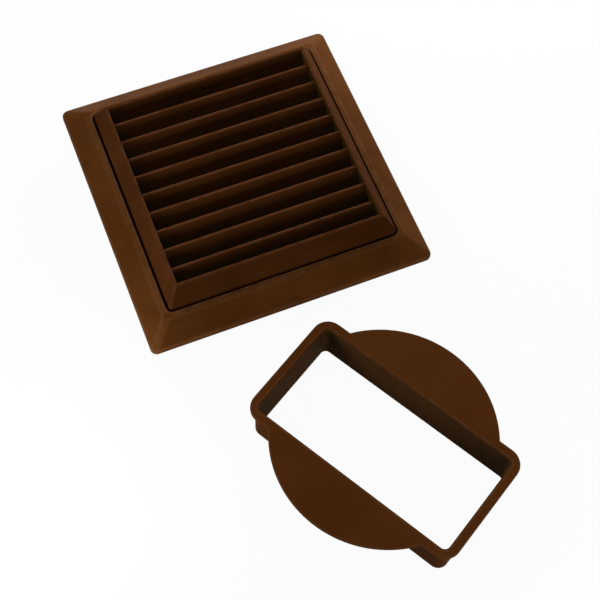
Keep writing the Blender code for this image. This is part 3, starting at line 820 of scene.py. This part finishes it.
flow_group, flow_in, flow_out = new_group(
    "melt_flow", [("Place", VECTOR, None), ("Dark tone", COLOUR, (0.06, 0.02, 0.01, 1.0)),
                  ("Light tone", COLOUR, (0.10, 0.04, 0.02, 1.0)), ("Patches per metre", FLOAT, 25.0)],
    [("Color", COLOUR)])
patches = noise(flow_group, flow_in.outputs["Place"], flow_in.outputs["Patches per metre"],
                roughness=0.45)
streak_place = flow_group.nodes.new("ShaderNodeMapping")
streak_place.inputs["Scale"].default_value = STREAK_STRETCH
flow_group.links.new(flow_in.outputs["Place"], streak_place.inputs["Vector"])
streak_scale = math_node(flow_group, "MULTIPLY", flow_in.outputs["Patches per metre"], STREAK_SCALE)
streaks = noise(flow_group, streak_place.outputs["Vector"], streak_scale, detail=3.0, roughness=0.55)
blend = math_node(flow_group, "ADD", math_node(flow_group, "MULTIPLY", patches, PATCH_SHARE),
                  math_node(flow_group, "MULTIPLY", streaks, STREAK_SHARE))
flow_mask = remap(flow_group, blend, 0.34, 0.66)
flow_group.links.new(mix_colour(flow_group, flow_mask, flow_in.outputs["Dark tone"],
                                flow_in.outputs["Light tone"]), flow_out.inputs["Color"])
print("group", flow_group.name, "has", len(flow_group.nodes), "nodes")

# %% [markdown]
# Outer edges are painted lighter: a little of it is wear from hands and packing, and most of it is a
# painted highlight along lips, lands and blade fronts. The Bevel node gives the normal that the surface
# would have with rounder edges, so where it differs from the true normal there is an edge. Ambient
# Occlusion looking inwards is dark only under an edge that stands out, which keeps the painted
# highlight out of inside corners. Noise breaks the mask up so that it isn't even.

# %% Group: rubbed edges and painted highlight
WEAR_AND_HIGHLIGHT_BREAKS_PER_METRE = 160.0
SKY_IN_CREASE = 0.99
SKY_UNDER_EDGE = 0.94

edge_highlight_group, edge_in, edge_out = new_group(
    "rubbed_edges_and_highlights", [("Place", VECTOR, None), ("Evenness", FLOAT, 0.5), ("Width", FLOAT, 0.001),
                     ("Onset", FLOAT, 0.999), ("Full", FLOAT, 0.97)], [("Mask", FLOAT)])
rounded = edge_highlight_group.nodes.new("ShaderNodeBevel")
rounded.samples = 4
edge_highlight_group.links.new(edge_in.outputs["Width"], rounded.inputs["Radius"])
surface = edge_highlight_group.nodes.new("ShaderNodeNewGeometry")
alike = edge_highlight_group.nodes.new("ShaderNodeVectorMath")
alike.operation = "DOT_PRODUCT"
edge_highlight_group.links.new(rounded.outputs["Normal"], alike.inputs[0])
edge_highlight_group.links.new(surface.outputs["Normal"], alike.inputs[1])
rubbed_and_highlit = ramp(edge_highlight_group, alike.outputs["Value"], edge_in.outputs["Onset"], edge_in.outputs["Full"])
inner_sky = free_sky(edge_highlight_group, edge_in.outputs["Width"], samples=8, inside=True)
stands_out = remap(edge_highlight_group, inner_sky, SKY_IN_CREASE, SKY_UNDER_EDGE)
worn_highlit_edge = math_node(edge_highlight_group, "MULTIPLY", rubbed_and_highlit, stands_out)
wear_and_highlight_noise = noise(edge_highlight_group, edge_in.outputs["Place"], WEAR_AND_HIGHLIGHT_BREAKS_PER_METRE,
                   detail=3.0, roughness=0.6)
breakup = remap(edge_highlight_group, wear_and_highlight_noise, 0.35, 0.65)
breakup = math_node(edge_highlight_group, "ADD", breakup, edge_in.outputs["Evenness"], clamp=True)
edge_highlight_group.links.new(math_node(edge_highlight_group, "MULTIPLY", worn_highlit_edge, breakup), edge_out.inputs["Mask"])
print("group", edge_highlight_group.name, "has", len(edge_highlight_group.nodes), "nodes")

# %% [markdown]
# A little dust lies on any part that has stood around. Each Voronoi cell holds one possible speck, its
# size comes from the distance to the cell's middle, and the cell's random colour decides whether the
# speck is there at all.

# %% Group: dust specks
DUST_CELLS_PER_METRE = 260.0
SPECK_EDGE = 0.10
SPECK_CORE = 0.05

dust_group, dust_in, dust_out = new_group(
    "dust_specks", [("Place", VECTOR, None), ("Share", FLOAT, 0.04)], [("Mask", FLOAT)])
cells = dust_group.nodes.new("ShaderNodeTexVoronoi")
cells.inputs["Scale"].default_value = DUST_CELLS_PER_METRE
dust_group.links.new(dust_in.outputs["Place"], cells.inputs["Vector"])
chance = dust_group.nodes.new("ShaderNodeSeparateColor")
dust_group.links.new(cells.outputs["Color"], chance.inputs["Color"])
is_there = math_node(dust_group, "LESS_THAN", chance.outputs["Red"], dust_in.outputs["Share"])
speck = remap(dust_group, cells.outputs["Distance"], SPECK_EDGE, SPECK_CORE)
dust_group.links.new(math_node(dust_group, "MULTIPLY", speck, is_there), dust_out.inputs["Mask"])
print("group", dust_group.name, "has", len(dust_group.nodes), "nodes")

# %% [markdown]
# Deep between the blades and inside the sleeve the colour is mixed towards a dull, dark olive-brown:
# a painted shade where little light reaches. Ambient Occlusion finds such places: it tells how much of
# the sky above a point is free, here with only the piece itself in the way. A little noise keeps the
# painted shade from looking even.

# %% Group: painted shade in the depths
CLOUDS_PER_METRE = 90.0
THINNEST_RECESS_SHADE = 0.75

recess_shade_group, recess_shade_in, recess_shade_out = new_group(
    "painted_recess_shade", [("Place", VECTOR, None), ("Reach", FLOAT, 0.03), ("Open", FLOAT, 0.8),
                     ("Closed", FLOAT, 0.3)], [("Mask", FLOAT)])
sky = free_sky(recess_shade_group, recess_shade_in.outputs["Reach"], samples=6)
hidden = ramp(recess_shade_group, sky, recess_shade_in.outputs["Open"], recess_shade_in.outputs["Closed"])
recess_shade_noise = noise(recess_shade_group, recess_shade_in.outputs["Place"], CLOUDS_PER_METRE, detail=3.0, roughness=0.55)
cloud = remap(recess_shade_group, recess_shade_noise, 0.25, 0.75, to_low=THINNEST_RECESS_SHADE)
recess_shade_group.links.new(math_node(recess_shade_group, "MULTIPLY", hidden, cloud, clamp=True),
                     recess_shade_out.inputs["Mask"])
print("group", recess_shade_group.name, "has", len(recess_shade_group.nodes), "nodes")

# %% [markdown]
# The three mouldings come from the same batch of brown polystyrene. The frame's tones are set lighter
# as painted light and the louvre panel's darker as painted shade, and the adaptor is plainer and
# redder.
# So one recipe makes all three materials, and each has tones, lighter edges with a painted highlight,
# a painted shade in the depths and gloss of its own.

# %% Satin brown plastic
DUST_COLOUR = (0.20, 0.15, 0.11)
DUST_SHARE = 0.035
DUST_COVER = 0.5
DUST_ROUGHNESS = 0.3
WEAR_AND_HIGHLIGHT_EVENNESS = 0.45
WEAR_POLISH = 0.05
SMOOTHER = 0.04
ROUGHER = 0.05
PLASTIC_IOR = 1.5
GLOSS_TINT = (1.0, 0.82, 0.42)
GRAIN_STRENGTH = 0.35
GRAIN_HEIGHT = 0.00004


def place_group(tree, group, **values):
    """Place a node group in a material and set its inputs, with _ for a space in a name."""
    node = tree.nodes.new("ShaderNodeGroup")
    node.node_tree = group
    for title, value in values.items():
        socket = node.inputs[title.replace("_", " ")]
        if isinstance(value, bpy.types.NodeSocket):
            tree.links.new(value, socket)
        else:
            socket.default_value = value
    return node


def brown_plastic(name, dark, light, edge, edge_sizes, recess_shade_colour, recess_shade_sky, roughness, gloss,
                  patches):
    """A satin moulded plastic from the five shared effects.

    edge_sizes is the width of the lighter edges, which are mostly a painted highlight and a little
    wear, and the likeness of normals where they set in and where they are full.
    The sky argument of the painted shade in the depths is how far it looks for sky, the sky where it
    starts and where it is full, and its greatest share.
    """
    material = bpy.data.materials.new(name)
    material.use_nodes = True
    tree = material.node_tree
    shader = tree.nodes["Principled BSDF"]
    place = tree.nodes.new("ShaderNodeTexCoord").outputs["Object"]
    flow = place_group(tree, flow_group, Place=place, Dark_tone=(*dark, 1.0),
                       Light_tone=(*light, 1.0), Patches_per_metre=patches)
    grain = place_group(tree, grain_group, Place=place, Grains_per_metre=GRAINS_PER_METRE)
    edge_width, edge_onset, edge_full = edge_sizes
    # The edge colour mixed in here is mostly a painted highlight, with a little wear.
    worn_and_highlit = place_group(tree, edge_highlight_group, Place=place, Evenness=WEAR_AND_HIGHLIGHT_EVENNESS, Width=edge_width,
                       Onset=edge_onset, Full=edge_full)
    dust = place_group(tree, dust_group, Place=place, Share=DUST_SHARE)
    # The colour mixed into the depths here is a painted shade.
    reach, open_sky, closed_sky, recess_shade_most = recess_shade_sky
    recess_shade = place_group(tree, recess_shade_group, Place=place, Reach=reach, Open=open_sky, Closed=closed_sky)
    recess_shade_share = math_node(tree, "MULTIPLY", recess_shade.outputs["Mask"], recess_shade_most)
    colour = mix_colour(tree, recess_shade_share, flow.outputs["Color"], recess_shade_colour)
    colour = mix_colour(tree, worn_and_highlit.outputs["Mask"], colour, edge)
    dust_share = math_node(tree, "MULTIPLY", dust.outputs["Mask"], DUST_COVER)
    colour = mix_colour(tree, dust_share, colour, DUST_COLOUR)
    tree.links.new(colour, shader.inputs["Base Color"])
    rough = remap(tree, grain.outputs["Roughness mask"], 0.0, 1.0, roughness - SMOOTHER,
                  roughness + ROUGHER)
    dusty = math_node(tree, "MULTIPLY", dust.outputs["Mask"], DUST_ROUGHNESS)
    rough = math_node(tree, "ADD", rough, dusty, clamp=True)
    polished = math_node(tree, "MULTIPLY", worn_and_highlit.outputs["Mask"], WEAR_POLISH)
    rough = math_node(tree, "SUBTRACT", rough, polished)
    tree.links.new(rough, shader.inputs["Roughness"])
    shader.inputs["IOR"].default_value = PLASTIC_IOR
    shader.inputs["Specular IOR Level"].default_value = gloss
    shader.inputs["Specular Tint"].default_value = (*GLOSS_TINT, 1.0)
    bump = tree.nodes.new("ShaderNodeBump")
    bump.inputs["Strength"].default_value = GRAIN_STRENGTH
    bump.inputs["Distance"].default_value = GRAIN_HEIGHT
    tree.links.new(grain.outputs["Height"], bump.inputs["Height"])
    tree.links.new(bump.outputs["Normal"], shader.inputs["Normal"])
    return material


def dress(piece, material):
    """Give a piece one material all over."""
    piece.data.materials.clear()
    piece.data.materials.append(material)


# The frame's lighter tones are painted light and the louvre panel's darker tones painted shade; each
# edge colour is mostly a painted highlight and each colour for the depths a painted shade.
dress(grille_frame, brown_plastic(
    "frame_plastic", dark=(0.090, 0.0284, 0.0058), light=(0.121, 0.0412, 0.0094),
    edge=(0.185, 0.076, 0.027), edge_sizes=(0.0026, 0.9997, 0.985),
    recess_shade_colour=(0.060, 0.038, 0.013), recess_shade_sky=(0.02, 0.75, 0.30, 0.5),
    roughness=0.42, gloss=0.007, patches=26.0))
dress(louvre_panel, brown_plastic(
    "louvre_plastic", dark=(0.061, 0.0184, 0.0041), light=(0.084, 0.0262, 0.0060),
    edge=(0.160, 0.062, 0.027), edge_sizes=(0.0010, 0.9995, 0.978),
    recess_shade_colour=(0.060, 0.0440, 0.0050), recess_shade_sky=(0.03, 0.56, 0.28, 1.0),
    roughness=0.42, gloss=0.004, patches=26.0))
dress(channel_adaptor, brown_plastic(
    "adaptor_plastic", dark=(0.082, 0.0240, 0.0047), light=(0.105, 0.0334, 0.0076),
    edge=(0.138, 0.052, 0.018), edge_sizes=(0.0012, 0.999, 0.970),
    recess_shade_colour=(0.042, 0.026, 0.009), recess_shade_sky=(0.12, 0.93, 0.72, 0.85),
    roughness=0.46, gloss=0.001, patches=16.0))
for material in bpy.data.materials:
    nodes = len(material.node_tree.nodes) if material.use_nodes else 0
    print("material", material.name, "has", nodes, "nodes")

# %% [markdown]
# The photograph's background is plain white. A wide floor turns up into a backdrop all round, as a
# studio sweep does, so that the view from any side ends on it. The camera and reflections see it white,
# and every other ray sees an ordinary pale surface, which keeps the object's shadow and some bounce.

# %% Floor and backdrop
FLOOR_RADIUS = 2.4
SWEEP_RADIUS = 0.9
SWEEP_STEPS = 8
BACKDROP_STRAIGHT = 0.8
FLOOR_SIDES = 96

clear_selection()
bpy.ops.mesh.primitive_circle_add(vertices=FLOOR_SIDES, radius=FLOOR_RADIUS, fill_type="NGON",
                                  location=(0, 0, 0))
studio_floor = name_new("studio_floor")
bpy.ops.object.mode_set(mode="EDIT")
pick(studio_floor, "EDGE", lambda edge: True)
reach, rise = FLOOR_RADIUS, 0.0
for step in range(1, SWEEP_STEPS + 1):
    turn = step * math.pi / 2 / SWEEP_STEPS
    next_reach = FLOOR_RADIUS + SWEEP_RADIUS * math.sin(turn)
    next_rise = SWEEP_RADIUS * (1 - math.cos(turn))
    bpy.ops.mesh.extrude_edges_move(TRANSFORM_OT_translate={"value": (0.0, 0.0, next_rise - rise)})
    share = next_reach / reach
    bpy.ops.transform.resize(value=(share, share, 1.0), center_override=(0.0, 0.0, 0.0))
    reach, rise = next_reach, next_rise
bpy.ops.mesh.extrude_edges_move(TRANSFORM_OT_translate={"value": (0.0, 0.0, BACKDROP_STRAIGHT)})
bpy.ops.mesh.select_all(action="SELECT")
bpy.ops.mesh.normals_make_consistent(inside=True)
clear_selection()
print("floor reaches", round(reach, 2), "m and its backdrop rises",
      round(rise + BACKDROP_STRAIGHT, 2), "m")

# %% [markdown]
# The floor's material mixes two surfaces by the kind of ray. The share that the camera sees as plain
# white is below one, so the shadow of the object still falls on the rest.

# %% Floor material
SHOWN_WHITE = 0.95
SHOWN_FLOOR = (0.92, 0.92, 0.92)
BOUNCE_FLOOR = (0.55, 0.55, 0.55)


def matt(tree, colour):
    """A plain matt surface with no gloss."""
    shader = tree.nodes.new("ShaderNodeBsdfDiffuse")
    shader.inputs["Color"].default_value = (*colour, 1.0)
    return shader.outputs[0]


def mix_surfaces(tree, share, first, second):
    """A Mix Shader; the share of the second surface is a socket or a number."""
    node = tree.nodes.new("ShaderNodeMixShader")
    if isinstance(share, bpy.types.NodeSocket):
        tree.links.new(share, node.inputs[0])
    else:
        node.inputs[0].default_value = share
    tree.links.new(first, node.inputs[1])
    tree.links.new(second, node.inputs[2])
    return node.outputs[0]


def background_rays(tree):
    """One for camera, glossy and transmission rays, and nought for the rest."""
    path = tree.nodes.new("ShaderNodeLightPath")
    seen = math_node(tree, "ADD", path.outputs["Is Camera Ray"], path.outputs["Is Glossy Ray"],
                     clamp=True)
    return math_node(tree, "ADD", seen, path.outputs["Is Transmission Ray"], clamp=True)


floor_material = bpy.data.materials.new("studio_white")
floor_material.use_nodes = True
floor_tree = floor_material.node_tree
floor_tree.nodes.remove(floor_tree.nodes["Principled BSDF"])
white = floor_tree.nodes.new("ShaderNodeEmission")
white.inputs["Strength"].default_value = 1.0
shown = mix_surfaces(floor_tree, SHOWN_WHITE, matt(floor_tree, SHOWN_FLOOR), white.outputs[0])
whole = mix_surfaces(floor_tree, background_rays(floor_tree), matt(floor_tree, BOUNCE_FLOOR), shown)
floor_tree.links.new(whole, floor_tree.nodes["Material Output"].inputs["Surface"])
dress(studio_floor, floor_material)
print("floor shows", round(100 * SHOWN_WHITE), "% of plain white")

# %% [markdown]
# Four square lamps stand round the set. The two strong ones are beyond the grille, a low one on the
# right and a higher, wider one on the left. A weak one in front on the right lifts the near sides, and
# a small one close to the grille's lower left corner gives the glow that the photograph has there. A
# grey world fills the shadows at a low, even level.

# %% World and lamps
WORLD_GREY = 0.12

world = bpy.data.worlds.new("studio")
bpy.context.scene.world = world
world.use_nodes = True
background = world.node_tree.nodes["Background"]
background.inputs["Color"].default_value = (WORLD_GREY, WORLD_GREY, WORLD_GREY, 1.0)
background.inputs["Strength"].default_value = 1.0


def softbox(name, place, target, size, watts):
    """A square area lamp that points at a target."""
    lamp_data = bpy.data.lights.new(name, "AREA")
    lamp_data.shape = "SQUARE"
    lamp_data.size = size
    lamp_data.energy = watts
    lamp = bpy.data.objects.new(name, lamp_data)
    bpy.context.scene.collection.objects.link(lamp)
    lamp.location = place
    aim = Vector(target) - Vector(place)
    lamp.rotation_euler = aim.to_track_quat("-Z", "Y").to_euler()
    lamp.visible_camera = False
    print(f"{name}: {watts} W over {size} m, {aim.length:.2f} m away")


softbox("key_right", (0.300, 0.340, 0.170), (0.0, 0.07, 0.03), 0.22, 1.55)
softbox("back_left", (-0.326, 0.366, 0.435), (0.0, 0.04, 0.02), 0.26, 1.34)
softbox("front_right", (0.120, -0.340, 0.140), (-0.03, 0.0, 0.03), 0.14, 0.37)
softbox("near_corner", (-0.190, -0.060, 0.080), (-0.07, 0.0, 0.02), 0.06, 0.14)

bpy.context.scene.view_settings.view_transform = "Standard"
